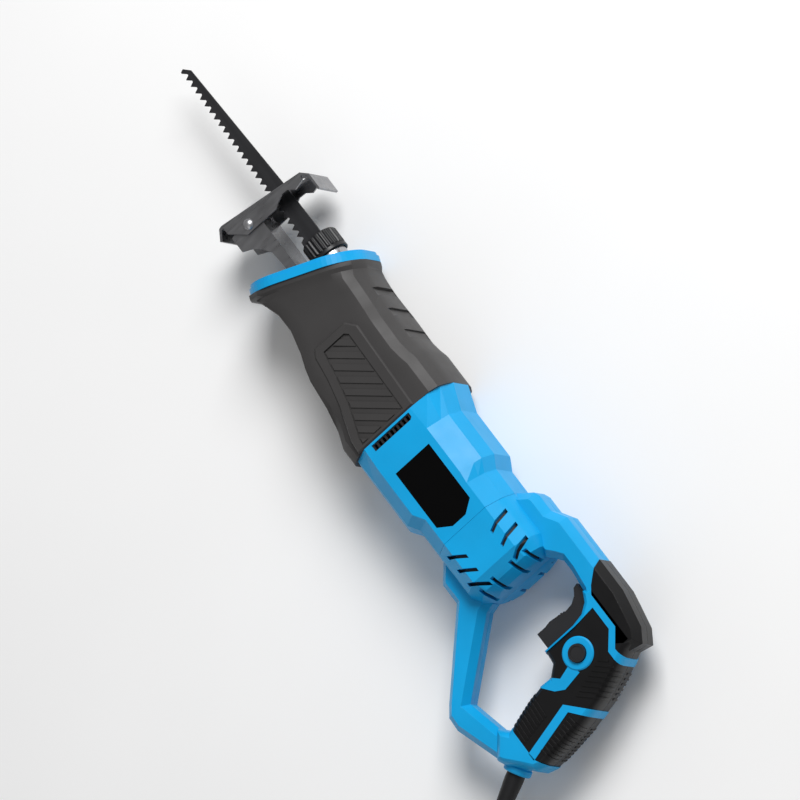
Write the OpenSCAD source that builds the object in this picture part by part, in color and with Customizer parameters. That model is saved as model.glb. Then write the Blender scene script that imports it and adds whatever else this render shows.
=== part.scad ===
// Corded reciprocating saw lying on its right side.
// Tool coordinates used below: X runs from the blade (negative) to the grip (positive),
// Y is the direction the spine faces, Z is the tool's left side, all from the motor axis.

/* [Housing] */
// Half of the width of the motor and gear section
body_half = 38.5; // [37:0.5:40]
// Wall thickness of the plastic shells
wall = 2.8; // [2:0.2:3.2]
// Thickness of the rubber boot over the gear case
boot_t = 3; // [2:0.5:4]
// Half of the width of the spine
spine_half = 18; // [16:1:20]
// Half of the width of the grip's plastic core
grip_half = 16.5; // [15:0.5:18]
// How far the soft cover and its frame stand out of the grip
cover_t = 2; // [1:0.5:3]
// Half of the width of the lower loop
loop_half = 13; // [11:1:15]
// Number of vent slots in each row on the motor's side
vent_count = 3; // [2:1:4]

/* [Blade and shoe] */
// Height of the plunger's axis above the motor's axis
plunger_y = 32; // [31:1:33]
// Reach of the blade's tip in front of the housing seam
blade_tip = 335; // [300:5:360]
// Thickness of the blade
blade_t = 1.3; // [1:0.1:1.8]
// Distance from tooth to tooth
tooth_pitch = 6.35; // [4:0.05:8.5]
// Depth of a tooth
tooth_depth = 3.6; // [2:0.2:4]
// Sheet thickness of the shoe and its arm
sheet_t = 2; // [1.5:0.25:2.5]
// Half of the width of the shoe arm
arm_half = 15; // [13:0.5:15]
// Radius of the blade clamp's collar
collar_r = 15; // [14:0.5:16]
// Number of ribs on the collar
collar_ribs = 24; // [16:2:30]

/* [Drive] */
// Distance of the crank pin from the gear's axis, half of the stroke
crank_r = 12; // [8:1:12]
// Teeth of the crown gear
gear_teeth = 45; // [45:5:50]
// Teeth of the motor's pinion
pinion_teeth = 9; // [9:1:9]
// Radius of the plunger
plunger_r = 8; // [7:0.5:8]
// Radius of the armature's shaft
shaft_r = 4; // [3:0.5:4.5]
// Running clearance between a shaft and its bearing
run_gap = 0.05; // [0.02:0.01:0.1]
// Number of blades on the cooling fan
fan_blades = 13; // [9:2:17]

/* [Controls] */
// Radius of the lock button
button_r = 7; // [6:0.5:7.5]
// Radius of the speed dial
dial_r = 10; // [9:0.5:10]

/* [Cord] */
// Diameter of the cord
cord_d = 7.5; // [6:0.5:8]
// Radius of the coil at the middle of its turns
coil_r = 41; // [40:1:42]
// Turns of the coil side by side
coil_wide = 3; // [3:1:3]
// Layers of turns in the coil
coil_high = 2; // [1:1:2]

/* [Hidden] */
$fn = 48;
e = 0.02;
gap = 0.3;
shoe_top = 62;
loop_low = -112;
grip_back = 273.5;
base_x = (blade_tip - grip_back) / 2;
base_y = -(shoe_top + loop_low) / 2;
base_z = body_half;

// Shell sections as half outlines [height, half width], from the top to the bottom
seam_section = [[52, 14], [46, 28], [37, 36], [20, body_half], [-28, body_half], [-41, 27], [-46, 12]];
mid_section = [[44, 15], [38, 28], [32, 31.7], [21, body_half], [-29, body_half], [-40.5, 27], [-46, 12]];
neck_section = [
  [38, 15], [32.5, 27], [28, 31.1], [20, body_half], [-23, body_half], [-34.5, 27], [-39.5, 12],
];
mid_x = [0, 21, 64, 74, 98];
motor_x = [98.2, 156];
motor_side = [[60, 45], [140, 45], [156, 29], [156, -30], [142, -46], [60, -46]];
motor_plan = [[60, 45], [141, 45], [156, 30], [156, -30], [141, -45], [60, -45]];

// Side outline of the gear section, boot included
boot_top = [[-150, 50], [-112, 50], [-40, 49], [-33, 52], [0, 52]];
boot_low = [[0, -46], [-15, -46], [-46, -34], [-73, -31], [-93, -25], [-120, -20.5], [-160, -20.5]];
ring_angle = 22.9;
ring_foot = [-165, -31];
ring_long = 98;
ring_wide = 76;
ring_t = 8;
case_front = -118;

// Gear train
gear_x = -46;
gear_r = 30.5;
gear_y = 7;
tooth_in = 24.5;
pinion_pitch = 5.6;
yoke_low = 20;
pinion_x = [gear_x + tooth_in, gear_x + gear_r - 0.5];
gear_turn = 180 / gear_teeth;

// Motor stations along the shaft
bearing_front = [-9, -2];
fan_x = [13, 25];
core_x = [38, 80];
stator_x = [35, 83];
comm_x = [92, 110];
brush_x = 101;
bearing_rear = [124, 130];
shaft_x = [-22, 134];
stator_r = 28;
bore_r = 16;
core_r = 15.3;

// Handle outlines
spine_top = [[96, 36], [106, 49], [111, 51], [126, 51], [138, 58], [210, 58], [221, 56], [241, 52], [251.5, 45]];
grip_rear = [[251.5, 42], [249, 34], [253, 25], [258, 14], [265, -6], [270, -30], [273, -58], [grip_back, -72]];
grip_foot = [[271, -80], [262, -87], [250, -97]];
loop_out = [[242, -100], [204, loop_low], [192, loop_low + 0.6], [184, -105], [129, -52.5], [111, -52.5], [96, -40]];
loop_in = [[150, -38], [195, -91.5], [226, -84.5]];
grip_front = [[234, -78], [230, -65], [226, -51], [223.5, -38], [224, -28], [217, -20], [206, -18.5]];
trigger_edge = [[205, 12], [203, 22], [198, 29], [190, 33.5]];
spine_low = [[172, 35.5], [162, 35.5], [157, 32]];

button_at = [226, 3];
dial_at = [198.5, 5.5];
trigger_half = 8;
rivet_at = [-202, 0];
exit_dir = [0.45, -0.893];
boss_at = [251, -84];
guard_at = boss_at + 17 * exit_dir;
guard_len = 50;
cord_exit = guard_at + guard_len * exit_dir;
screws_at = [[110, -45], [120, 44], [165, 46], [236, 44], [199, -102], [262, -62]];

// Cord: points of the lead and of the tail, in tool X and Y and in height over the bench
coil_at = [352, -154];
lead_route = [
  [281.2, -143.8, 38.5], [285.7, -152.7, 38.3], [290.5, -162, 36], [296, -171.5, 30.5], [302.5, -181, 23],
  [306, -185.6, 19.3], [311, -193, 13.5], [319.2, -201, 8.6], [329.3, -207.6, 5.2], [340.4, -210.8, 3.9],
  [352, -210.5, 3.75],
];
tail_route = [
  [396.3, -119.5, 8.2], [395, -114, 6.6], [394.5, -103, 5], [395.5, -92, 6.5], [397, -82, 9],
];
plug_at = tail_route[4] + [0, 0.9, 0];
plug_turn = -8;
plug_len = 42;
pin_len = 19;
pin_r = 2.4;
pin_apart = 19;

// ---------- helpers ----------

module place() {
  translate([base_x, base_y, base_z]) children();
}

module floor_place() {
  translate([base_x, base_y, 0]) children();
}

function turned(p, a) = [p[0] * cos(a) - p[1] * sin(a), p[0] * sin(a) + p[1] * cos(a)];

function both(h) = concat(h, [for (i = [len(h) - 1:-1:0]) [h[i][0], -h[i][1]]]);

module along_x(x0, x1) {
  translate([x0, 0, 0]) rotate([90, 0, 90]) linear_extrude(x1 - x0) children();
}

module section(x0, x1, half, inset = 0) {
  along_x(x0, x1) offset(delta = -inset) polygon(both(half));
}

// Half outline with every point drawn in towards the axis, t on the widest side
function drawn_in(half, t) = [for (h = half) h * (1 - t / body_half)];

// Solid through cross sections, each of them [x, half outline]
module skin(rings) {
  n = 2 * len(rings[0][1]);
  last = (len(rings) - 1) * n;
  polyhedron(
    [for (r = rings) for (p = both(r[1])) [r[0], p[0], p[1]]],
    concat(
      [[for (i = [0:n - 1]) i]],
      [for (k = [0:n:last - 1]) for (i = [0:n - 1]) [k + i, k + n + i, k + n + (i + 1) % n]],
      [for (k = [0:n:last - 1]) for (i = [0:n - 1]) [k + i, k + n + (i + 1) % n, k + (i + 1) % n]],
      [[for (i = [n - 1:-1:0]) last + i]]
    )
  );
}

module slab(z0, z1) {
  translate([0, 0, z0]) linear_extrude(z1 - z0) children();
}

module rod_x(x0, x1, y, r) {
  translate([x0, y, 0]) rotate([0, 90, 0]) cylinder(h = x1 - x0, r = r);
}

module tube_x(x0, x1, y, ro, ri) {
  difference() {
    rod_x(x0, x1, y, ro);
    rod_x(x0 - 1, x1 + 1, y, ri);
  }
}

module rod_y(y0, y1, x, z, r) {
  translate([x, y0, z]) rotate([-90, 0, 0]) cylinder(h = y1 - y0, r = r);
}

module rod_z(at, z0, z1, r) {
  translate([at[0], at[1], z0]) cylinder(h = z1 - z0, r = r);
}

module block(x, y, z) {
  translate([x[0], y[0], z[0]]) cube([x[1] - x[0], y[1] - y[0], z[1] - z[0]]);
}

// Bar with a chamfered section from p to q in the side view
module bar(p, q, width, half, chamfer) {
  d = q - p;
  translate([p[0], p[1], 0]) rotate([0, 0, atan2(d[1], d[0])]) along_x(0, norm(d)) polygon([
    [width / 2 - chamfer, half], [width / 2, half - chamfer],
    [width / 2, chamfer - half], [width / 2 - chamfer, -half],
    [chamfer - width / 2, -half], [-width / 2, chamfer - half],
    [-width / 2, half - chamfer], [chamfer - width / 2, half],
  ]);
}

// ---------- blade and clamp ----------

function blade_low(x) = 19.5 + (x < -165 ? (-165 - x) * 0.0335 : 0);
tooth_count = floor((blade_tip - 168) / tooth_pitch);

module blade_outline() {
  difference() {
    polygon([
      [-blade_tip, 28], [-blade_tip + 5, 32.5], [-211, 36.8], [-164, 37.2], [-152, 37.2], [-150, 38],
      [-143, 38], [-142, 37], [-142, 27], [-143, 26], [-155, 26], [-157, 20], [-165, 19.5],
      [-blade_tip + 1, blade_low(-blade_tip)],
    ]);
    for (i = [0:tooth_count - 1]) {
      x = -168 - i * tooth_pitch;
      y = blade_low(x);
      polygon([
        [x, y - 1], [x, y], [x - 1.6, y + tooth_depth], [x - 2.8, y + tooth_depth],
        [x - tooth_pitch + 0.3, y + 0.2], [x - tooth_pitch + 0.3, y - 1],
      ]);
    }
  }
}

module blade() {
  color([0.13, 0.13, 0.14]) place() difference() {
    slab(-blade_t / 2, blade_t / 2) blade_outline();
    rod_z([-148, plunger_y], -2, 2, 2.6);
  }
}

module clamp_body() {
  color([0.75, 0.76, 0.78]) place() difference() {
    union() {
      rod_x(-158, -146.3, plunger_y, 11.4);
      rod_x(-146.3, -138, plunger_y, 12.6);
    }
    rod_x(-141.9, -137, plunger_y, plunger_r);
    block([-160, -141.9], [18, 39], [-blade_t / 2 - 0.1, blade_t / 2 + 0.1]);
    rod_z([-148, plunger_y], -14, 14, 2.2);
    tube_x(-150.5, -146.4, plunger_y, 12, 9.7);
  }
}

module clamp_pin() {
  color([0.6, 0.6, 0.62]) place() rod_z([-148, plunger_y], -8, 8, 2.2);
}

module clamp_spring() {
  color([0.5, 0.5, 0.52]) place() for (i = [0:2]) {
    translate([-149.8 + i * 1.25, plunger_y, 0]) rotate([0, 90, 0])
      rotate_extrude() translate([10.45, 0]) circle(r = 0.55);
  }
}

module clamp_collar() {
  color([0.08, 0.08, 0.09]) place() difference() {
    union() {
      rod_x(-164, -146.6, plunger_y, collar_r - 1);
      for (i = [0:collar_ribs - 1]) translate([0, plunger_y, 0]) rotate([i * 360 / collar_ribs, 0, 0])
        block([-162.8, -147.4], [collar_r - 2, collar_r], [-0.9, 0.9]);
    }
    rod_x(-158.3, -146, plunger_y, 11.45);
    rod_x(-165, -155.8, plunger_y, 13.2);
  }
}

// ---------- shoe ----------

shoe_plate = [
  [-203, 56], [-199, 54.5], [-197, 46], [-201, 41], [-201.5, 35], [-198.5, 29], [-196, 25],
  [-196, -5], [-207, -17.5], [-213.5, -17.5],
];
arm_plate = [
  [-205, 8], [-90, 8], [-90, 2], [-160, 2], [-173, 1], [-181, -4], [-186, -10], [-189.5, -17.5],
  [-203, -17.5], [-206, -6], [-207, 0],
];

module shoe() {
  inner = arm_half + gap;
  outer = inner + sheet_t;
  color([0.42, 0.42, 0.44]) place() difference() {
    union() {
      slab(inner, outer) polygon(shoe_plate);
      slab(-outer, -inner) polygon(shoe_plate);
      slab(-outer, outer) polygon([
        [-213.5, -17.5], [-203, 56], [-198.5, 60.2], [-185, 60.2], [-185, shoe_top], [-199.3, shoe_top],
        [-204.9, 56.6], [-215.5, -17.6], [-214.8, -20.5], [-206.5, -26], [-205.4, -24.3], [-212.8, -19.4],
      ]);
    }
    block([-218, -196], [12, 53], [-4.5, 4.5]);
    rod_z(rivet_at, -outer - 1, outer + 1, 3);
  }
}

module shoe_rivet() {
  outer = arm_half + gap + sheet_t;
  color([0.7, 0.7, 0.72]) place() {
    rod_z(rivet_at, -outer - gap, outer + gap, 3 - run_gap);
    for (s = [-1, 1]) translate([rivet_at[0], rivet_at[1], s * (outer + gap)])
      scale([1, 1, s]) rotate_extrude() intersection() {
        translate([0, -3.4]) circle(r = 5.6);
        square([6, 6]);
      }
  }
}

module shoe_arm() {
  color([0.42, 0.42, 0.44]) place() difference() {
    union() {
      for (s = [-1, 1]) slab(s > 0 ? arm_half - sheet_t : -arm_half, s > 0 ? arm_half : sheet_t - arm_half)
        polygon(arm_plate);
      block([-199, -90], [8 - e, 10], [-arm_half, arm_half]);
    }
    rod_z(rivet_at, -arm_half - 1, arm_half + 1, 3 - run_gap);
  }
}

module arm_guide() {
  color([0.62, 0.63, 0.65]) place() difference() {
    block([-116, -94], [-6, 14], [-21, 21]);
    block([-117, -93], [1.6, 10.3], [-arm_half - gap, arm_half + gap]);
    block([-117, -93], [-4, 3], [-11, 11]);
    rod_y(-8, 5, -105, 0, 3);
  }
}

module arm_screws() {
  color([0.25, 0.25, 0.27]) place() difference() {
    union() {
      rod_y(-17, 7.7, -105, 0, 3);
      rod_y(-19.5, -14, -105, 0, 5);
    }
    translate([-105, -19.6, 0]) rotate([-90, 0, 0]) cylinder(h = 3.5, r = 2.9, $fn = 6);
  }
}

// ---------- gear section ----------

// The inner outlines run past the seam, so that the boot and the gear case stay open there
module boot_outline(inset) {
  rear = inset > 0 ? 20 : 0;
  offset(delta = -inset) polygon(concat(boot_top, [[rear, 52], [rear, -46]], boot_low));
}

module boot_sections(inset, x0, x1) {
  h = body_half - 0.5;
  along_x(x0, x1) offset(delta = -inset) polygon(both([
    [52, 15], [50.5, 20], [46, 28], [39, 34], [30, h - 1], [20, h], [-24, h], [-36, h - 6], [-46, 14],
  ]));
}

// Narrow waist behind the ring in the top view
module boot_plan(inset) {
  h = body_half - inset;
  rotate([-90, 0, 0]) translate([0, 0, -80]) linear_extrude(160) polygon([
    [-160, h], [-140, h], [-128, h - 4.5], [-110, h - 5.5], [-92, h - 4], [-78, h - 1], [4, h],
    [4, -h], [-78, 1 - h], [-92, 4 - h], [-110, 5.5 - h], [-128, 4.5 - h], [-140, -h], [-160, -h],
  ]);
}

module boot_body(inset, x0, x1) {
  intersection() {
    slab(-60, 60) boot_outline(inset);
    boot_sections(inset, x0, x1);
    boot_plan(inset);
  }
}

// Slanted frame of the ring: X across its thickness, Y up along its face
module ring_frame() {
  translate([ring_foot[0], ring_foot[1], 0]) rotate([0, 0, -ring_angle]) children();
}

module ring_outline(inset) {
  r = 30 - inset;
  translate([ring_long / 2, 0]) offset(r = r)
    square([ring_long - 60, ring_wide - 60], center = true);
}

module ring_plate(x0, x1, inset) {
  ring_frame() along_x(x0, x1) ring_outline(inset);
}

module bumper_ring() {
  color([0.04, 0.55, 0.86]) place() difference() {
    union() {
      ring_plate(0, 3, 1.5);
      ring_plate(3, ring_t, 0);
    }
    ring_plate(-1, ring_t + 1, 9);
  }
}

module rubber_boot() {
  color([0.21, 0.21, 0.22]) place() difference() {
    union() {
      ring_plate(ring_t, ring_t + 3.5, 1.5);
      intersection() {
        boot_body(0, -160, 0);
        ring_frame() block([ring_t + 3.4, 200], [-40, 160], [-50, 50]);
      }
      difference() {
        ring_frame() hull() {
          along_x(ring_t + 3.4, ring_t + 3.5) ring_outline(2);
          along_x(ring_t + 13, ring_t + 14) ring_outline(9);
        }
        block([-200, 20], [-60, -36], [-50, 50]);
      }
      for (i = [0:4]) translate([-38 + i * 17.5, 50.5, 0])
        if (i == 0) block([-2, 4], [-3, 0.4], [-12, 12]);
    }
    boot_body(boot_t, -160, 1);
    ring_plate(-1, ring_t + 6, 9);
    intersection() {
      ring_plate(0, 60, 9);
      boot_body(boot_t - 0.5, -200, -90);
    }
    for (i = [0:2]) translate([-97 + i * 20.7, 56.5, 0]) rotate([90, 0, 90])
      linear_extrude(8) polygon([[-7.5, -24], [-7.5, 24], [6, 40], [6, -40]]);
    for (s = [-1, 1]) slab(s > 0 ? body_half - 1.6 : -body_half - 2, s > 0 ? body_half + 2 : 1.6 - body_half)
      boot_panel();
  }
}

// Recessed side panel with slanted ribs between its grooves
module boot_panel() {
  difference() {
    offset(r = 3) offset(delta = -3)
      polygon([[-78, 16], [-2.5, 15], [-2.5, -26], [-8, -25], [-33, -17], [-79, -8]]);
    for (i = [0:7]) translate([-94 + i * 13, -34]) rotate(45) square([90, 5.6]);
  }
}

module front_seal() {
  color([0.1, 0.1, 0.1]) place() tube_x(-115, -108, plunger_y, 13, plunger_r + run_gap);
}

module plunger_holes(r_front, r_rear) {
  rod_x(-116, -107, plunger_y, 13);
  rod_x(-125, -80, plunger_y, plunger_r + 1.5);
  rod_x(-102, -86, plunger_y, r_front);
  rod_x(-30, 5, plunger_y, plunger_r + 1.5);
  rod_x(-21, -11, plunger_y, r_rear);
}

module case_body() {
  boot_body(boot_t + 0.1, case_front, -0.3);
}

case_split = 14.5;

module gear_case() {
  color([0.6, 0.61, 0.63]) place() difference() {
    intersection() {
      case_body();
      block([-130, 5], [-60, case_split], [-60, 60]);
    }
    rod_y(-5, 30, gear_x, 0, gear_r + 2);
    block([-120, -78], [-6.1, 20], [-21.1, 21.1]);
    block([-93, -78], [-6.1, 20], [-24, 24]);
    rod_y(-17, 30, gear_x, 0, 9);
    block([-24, 5], [-22, 20], [-22, 22]);
    block([-12, 5], [-38, 20], [-26.2, 26.2]);
    rod_y(-30, 0, -105, 0, 5.2);
    for (p = case_screw_at) rod_y(4, 30, p[0], p[1], 2);
  }
}

case_screw_at = [[-112, 26], [-112, -26], [-84, 29], [-84, -29], [-6, 29.7], [-6, -29.7]];

module gear_cover() {
  color([0.6, 0.61, 0.63]) place() difference() {
    intersection() {
      case_body();
      block([-130, 5], [case_split, 80], [-60, 60]);
    }
    plunger_holes(11, 11);
    block([-80, -22.4], [0, plunger_y + 10.5], [-27, 27]);
    rod_y(0, 19, gear_x, 0, gear_r + 2);
    block([-12, 5], [0, plunger_y + 9], [-26.2, 26.2]);
    for (p = case_screw_at) rod_y(0, 27, p[0], p[1], 2);
    for (p = case_screw_at) rod_y(22, 60, p[0], p[1], 3.6);
  }
}

module case_screws() {
  color([0.3, 0.3, 0.32]) place() for (p = case_screw_at) difference() {
    union() {
      rod_y(5, 22, p[0], p[1], 2);
      rod_y(22, 25, p[0], p[1], 3.5);
    }
    translate([p[0], 23, p[1]]) rotate([-90, 0, 0]) cylinder(h = 3, r = 1.7, $fn = 6);
  }
}

module bearing_plate() {
  color([0.55, 0.56, 0.58]) place() difference() {
    block([-11, -0.4], [-30, 22.8], [-26, 26]);
    rod_x(bearing_front[0], 5, 0, 11);
    rod_x(-12, 5, 0, 8);
  }
}

// ---------- drive ----------

module plunger() {
  color([0.7, 0.7, 0.72]) place() difference() {
    union() {
      rod_x(-141.9, 3, plunger_y, plunger_r);
      block([gear_x - 11, gear_x + 11], [yoke_low, plunger_y], [-22, 22]);
    }
    block([gear_x - 5.1, gear_x + 5.1], [yoke_low - 1, yoke_low + 6.5], [-19, 19]);
    rod_x(-4, 4, plunger_y, 2);
  }
}

module yoke_roller() {
  color([0.8, 0.75, 0.6]) place() difference() {
    rod_y(yoke_low + 0.2, yoke_low + 6.3, gear_x, crank_r, 5);
    rod_y(yoke_low - 1, yoke_low + 5, gear_x, crank_r, 3);
  }
}

module front_bush() {
  color([0.72, 0.53, 0.25]) place() tube_x(-102, -86, plunger_y, 11, plunger_r + run_gap);
}

module rear_bush() {
  color([0.72, 0.53, 0.25]) place() tube_x(-21, -11, plunger_y, 11, plunger_r + run_gap);
}

module crown_gear() {
  color([0.5, 0.5, 0.52]) place() {
    translate([gear_x, 0, 0]) rotate([-90, 0, 0]) difference() {
      union() {
        translate([0, 0, gear_y]) cylinder(h = 7, r = gear_r);
        for (i = [0:gear_teeth - 1]) rotate([0, 0, gear_turn + i * 360 / gear_teeth])
          translate([0, 0, 4.9]) linear_extrude(gear_y - 4.9 + e) polygon([
            [tooth_in, -0.56], [gear_r, -0.7], [gear_r, 0.7], [tooth_in, 0.56],
          ]);
        translate([0, 0, -16]) cylinder(h = 24, r = 5);
        rotate([0, 0, -90]) translate([crank_r, 0, gear_y]) cylinder(h = yoke_low - gap - gear_y, r = 3);
      }
      for (i = [0:4]) rotate([0, 0, 90 + (i - 2) * 30]) translate([19, 0, gear_y - 1]) cylinder(h = 9, r = 3.4);
    }
  }
}

module gear_bearing() {
  color([0.75, 0.76, 0.78]) place() difference() {
    rod_y(-16.9, -5.1, gear_x, 0, 9);
    rod_y(-20, 0, gear_x, 0, 5 + run_gap);
  }
}

module pinion() {
  tooth = [[4.6, -0.95], [pinion_pitch, -0.72], [6.4, -0.42], [6.4, 0.42], [pinion_pitch, 0.72], [4.6, 0.95]];
  color([0.6, 0.6, 0.62]) place() along_x(pinion_x[0], pinion_x[1]) difference() {
    polygon([for (i = [0:pinion_teeth - 1]) for (p = tooth) turned(p, i * 360 / pinion_teeth)]);
    circle(r = 3);
  }
}

// ---------- motor ----------

module armature_shaft() {
  color([0.72, 0.73, 0.75]) place() {
    rod_x(shaft_x[0], -13, 0, 3);
    rod_x(-13, shaft_x[1], 0, shaft_r);
  }
}

module armature_core() {
  color([0.45, 0.45, 0.47]) place() difference() {
    rod_x(core_x[0], core_x[1], 0, core_r);
    rod_x(0, 120, 0, shaft_r);
    for (i = [0:11]) rotate([i * 30, 0, 0]) {
      block([30, 90], [8, 14.2], [-1.6, 1.6]);
      block([30, 90], [14, 16], [-0.7, 0.7]);
    }
  }
}

module armature_windings() {
  color([0.72, 0.36, 0.15]) place() {
    for (i = [0:11]) rotate([i * 30, 0, 0]) block([core_x[0], core_x[1]], [8.1, 14.1], [-1.5, 1.5]);
    tube_x(core_x[0] - 7, core_x[0], 0, 14, 6.5);
    tube_x(core_x[1], core_x[1] + 7, 0, 14, 6.5);
  }
}

module commutator() {
  color([0.75, 0.42, 0.2]) place() difference() {
    union() {
      rod_x(comm_x[0], comm_x[1], 0, 10);
      rod_x(comm_x[0] - 3, comm_x[0], 0, 11.5);
    }
    rod_x(80, 120, 0, shaft_r);
    for (i = [0:23]) rotate([i * 15, 0, 0]) block([comm_x[0] - 4, comm_x[1] + 1], [9.2, 12], [-0.25, 0.25]);
  }
}

module fan() {
  color([0.12, 0.12, 0.13]) place() difference() {
    union() {
      rod_x(fan_x[0], fan_x[1], 0, 8);
      rod_x(fan_x[1] - 2, fan_x[1], 0, 22);
      for (i = [0:fan_blades - 1]) rotate([i * 360 / fan_blades, 0, 0])
        block([fan_x[0] + 1, fan_x[1] - 1], [7, 21.5], [-0.7, 0.7]);
    }
    rod_x(0, 40, 0, shaft_r);
  }
}

module front_bearing() {
  color([0.8, 0.8, 0.82]) place() tube_x(bearing_front[0], bearing_front[1], 0, 11, shaft_r + run_gap);
}

module rear_bearing() {
  color([0.8, 0.8, 0.82]) place() tube_x(bearing_rear[0], bearing_rear[1], 0, 9.5, shaft_r + run_gap);
}

module bearing_cup() {
  color([0.1, 0.1, 0.1]) place() difference() {
    rod_x(bearing_rear[0] + 0.5, bearing_rear[1] + 2, 0, 12);
    rod_x(bearing_rear[0], bearing_rear[1], 0, 9.5);
    rod_x(bearing_rear[0], bearing_rear[1] + 3, 0, 6);
  }
}

// Stator lamination: a ring with a pole above and a pole below the shaft
module stator_shape() {
  difference() {
    circle(r = stator_r);
    difference() {
      circle(r = stator_r - 4.5);
      for (a = [0, 180]) rotate(a)
        polygon([[0, 0], [8, 19], [12, 19], [30, 12], [30, -12], [12, -19], [8, -19]]);
    }
    circle(r = bore_r);
  }
}

module stator_core() {
  color([0.5, 0.5, 0.53]) place() along_x(stator_x[0], stator_x[1]) stator_shape();
}

// One coil runs along the sides of its pole and bends over it at both ends
module field_coils() {
  ends = [[stator_x[0] - 6, stator_x[0] - 1], [stator_x[1] + 1, stator_x[1] + 6]];
  color([0.78, 0.4, 0.16]) place() for (a = [0, 180]) rotate([a, 0, 0]) {
    for (s = [0, 180]) mirror([0, 0, s / 180]) {
      block([ends[0][0], ends[1][1]], [1.5, 6.5], [16.9, 22.3]);
      for (x = ends) block(x, [1.5, 22], [16.9, 22.3]);
    }
    for (x = ends) block(x, [17, 22], [-22.3, 22.3]);
  }
}

module fan_baffle() {
  color([0.15, 0.15, 0.16]) place() along_x(27, 29) difference() {
    polygon(both(drawn_in(mid_section, wall + 0.2)));
    circle(r = 17);
  }
}

module brush_holders() {
  color([0.7, 0.55, 0.25]) place() for (s = [0, 180]) rotate([s, 0, 0]) difference() {
    block([brush_x - 5, brush_x + 5], [-4.4, 4.4], [12, 29]);
    block([brush_x - 3.6, brush_x + 3.6], [-3, 3], [11, 28]);
  }
}

module carbon_brushes() {
  color([0.15, 0.15, 0.16]) place() for (s = [0, 180]) rotate([s, 0, 0]) difference() {
    block([brush_x - 3.5, brush_x + 3.5], [-2.9, 2.9], [9, 21]);
    rod_x(90, 120, 0, 10.1);
  }
}

module brush_springs() {
  color([0.6, 0.6, 0.62]) place() for (s = [0, 180]) rotate([s, 0, 0]) for (i = [0:3])
    translate([brush_x, 0, 21.7 + i * 1.6]) rotate_extrude() translate([2, 0]) circle(r = 0.6, $fn = 16);
}

// ---------- motor housing ----------

module mid_shape(inset, x0, x1) {
  skin([
    [x0, drawn_in(seam_section, inset)],
    [mid_x[1], drawn_in(mid_section, inset)],
    [mid_x[2], drawn_in(mid_section, inset)],
    [mid_x[3], drawn_in(neck_section, inset)],
    [x1, drawn_in(neck_section, inset)],
  ]);
}

// Four ribs that hold the stator in the housing
module stator_ribs() {
  along_x(stator_x[0] + 4, mid_x[2] - 1) difference() {
    polygon(both(drawn_in(mid_section, wall - 0.4)));
    circle(r = stator_r);
    for (a = [45, 135]) rotate(a) square([140, 26], center = true);
  }
}

module plate_outline(grow) {
  offset(delta = grow) polygon([[31, 15], [84.5, 15], [92, 4.5], [92, -9], [84.5, -20], [31, -20]]);
}

module intake_outline(grow) {
  offset(delta = grow) polygon([[1.8, 17], [5.8, 17], [7.4, 15], [7.4, -22], [1.8, -22]]);
}

module motor_housing() {
  color([0.04, 0.6, 0.9]) place() {
    difference() {
      mid_shape(0, mid_x[0], mid_x[4]);
      mid_shape(wall, mid_x[0] - 1, mid_x[4] + 1);
      for (s = [-1, 1]) {
        slab(s > 0 ? body_half - 1.2 : -body_half - 1, s > 0 ? body_half + 1 : 1.2 - body_half)
          plate_outline(0);
        slab(s > 0 ? body_half - 6 : -body_half - 1, s > 0 ? body_half + 1 : 6 - body_half)
          intake_outline(0);
      }
    }
    stator_ribs();
  }
}

module side_plates() {
  color([0.02, 0.02, 0.02]) place() for (s = [-1, 1])
    slab(s > 0 ? body_half - 1.2 : -body_half + 0.1, s > 0 ? body_half - 0.1 : 1.2 - body_half) plate_outline(-0.05);
}

module dust_screens() {
  color([0.06, 0.06, 0.07]) place() for (s = [-1, 1]) difference() {
    slab(s > 0 ? body_half - 2.7 : 1.5 - body_half, s > 0 ? body_half - 1.5 : 2.7 - body_half) intake_outline(-0.05);
    for (i = [0:8]) slab(-60, 60) translate([2.6, -20.6 + i * 4.1]) square([4, 2.4]);
  }
}

// ---------- handle ----------

module motor_end(inset) {
  intersection() {
    section(motor_x[0], motor_x[1] - inset, neck_section, inset);
    slab(-60, 60) offset(delta = -inset) polygon(motor_side);
    rotate([-90, 0, 0]) slab(-60, 60) offset(delta = -inset) polygon(motor_plan);
  }
}

module spine_outline() {
  polygon(concat(spine_top, [[251.5, 42], [249, 34], [253, 25], [240, 20], [212, 20]],
    [[203, 22], [198, 29], [190, 33.5]], spine_low, [[150, 26], [100, 26]]));
}

module spine_shape(inset) {
  intersection() {
    slab(-60, 60) offset(delta = -inset) spine_outline();
    along_x(90, 280) offset(delta = -inset) polygon(both([
      [58, spine_half - 7], [50, spine_half], [42, spine_half], [34, spine_half - 3], [18, spine_half - 3],
    ]));
  }
}

module grip_outline() {
  polygon(concat([[205, 35], [249, 35]], [for (i = [1:7]) grip_rear[i]], grip_foot,
    [[244, -99.5], [226, -84.5]], grip_front, [[205, -18]], trigger_edge));
}

module grip_section(inset, half) {
  translate([236, -20, 0]) rotate([0, 0, -77]) along_x(-85, 85) offset(delta = -inset) polygon(both([
    [40, half - 6], [25, half], [-19, half], [-30, half - 6],
  ]));
}

module grip_shape(inset, half) {
  intersection() {
    slab(-60, 60) offset(delta = -inset) grip_outline();
    grip_section(inset, half);
  }
}

module loop_outline() {
  polygon(concat([[250, -97]], loop_out, [[96, -30], [148, -30]], loop_in, [[234, -78], [262, -87]]));
}

module loop_shape(inset) {
  slab(inset - loop_half, loop_half - inset) offset(delta = -inset) loop_outline();
}

module cord_boss(r, length) {
  translate([boss_at[0], boss_at[1], 0]) rotate([0, 0, atan2(exit_dir[1], exit_dir[0])])
    rod_x(0, length, 0, r);
}

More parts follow.
